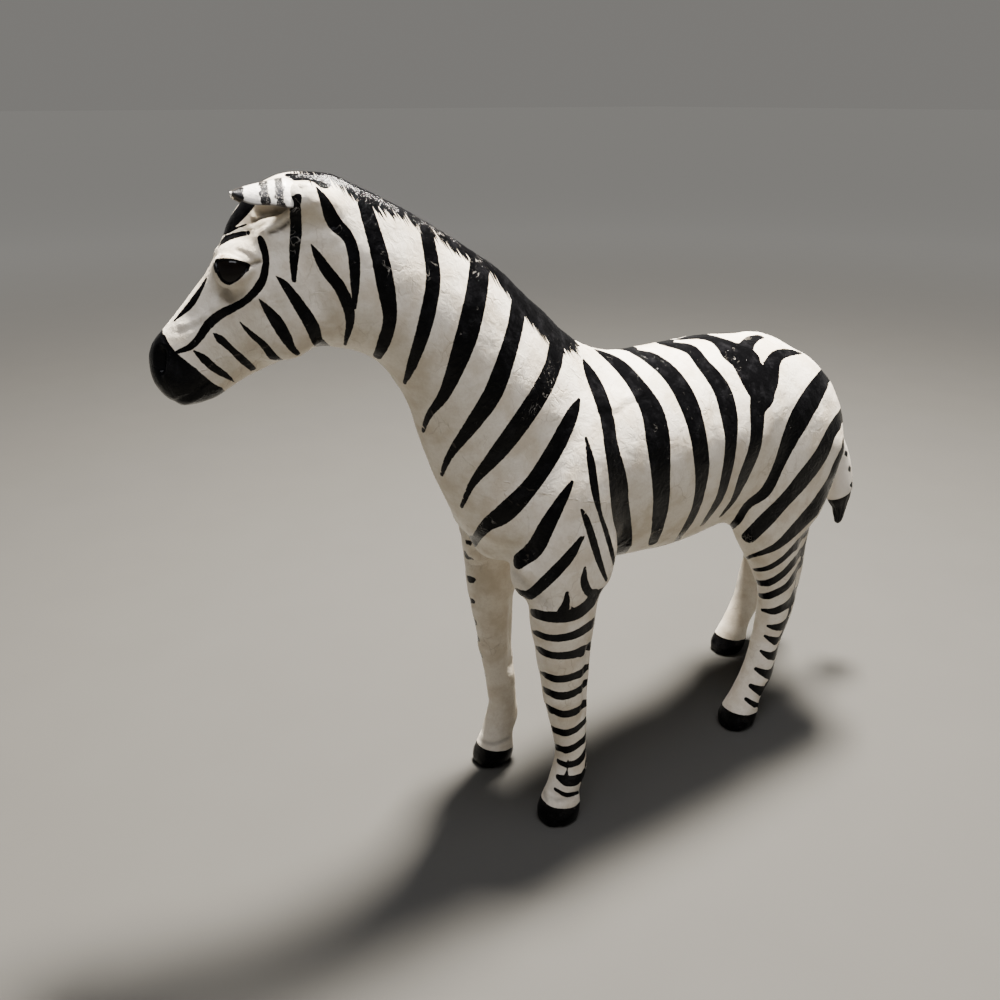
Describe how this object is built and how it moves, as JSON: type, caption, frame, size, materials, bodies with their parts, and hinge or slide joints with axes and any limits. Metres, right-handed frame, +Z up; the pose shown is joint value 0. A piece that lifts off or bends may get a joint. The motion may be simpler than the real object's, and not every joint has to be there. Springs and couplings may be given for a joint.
{
  "type": "zebra figurine",
  "caption": "Standing zebra figurine with a leather-covered body, leather ears and tail, glass eyes and painted stripes, mane and hooves.",
  "frame": {"origin": "on the ground plane, under the middle of the figurine's bounding box", "axes": "+Z up from the soles, -Y the way the zebra faces, +Y towards its tail, +X its left side"},
  "size_m": [0.0984, 0.401, 0.3187],
  "materials": {
    "painted_leather": "ivory leather with black painted stripes under gloss varnish",
    "black_glass": "polished, opaque black",
    "ear_leather": "gloss varnish, painted bands",
    "tail_leather": "gloss varnish, black tuft"
  },
  "bodies": {
    "root": {"body": "painted_leather", "eye_left": "black_glass", "eye_right": "black_glass", "ear_left": "ear_leather", "ear_right": "ear_leather", "tail": "tail_leather"}
  },
  "joints": []
}
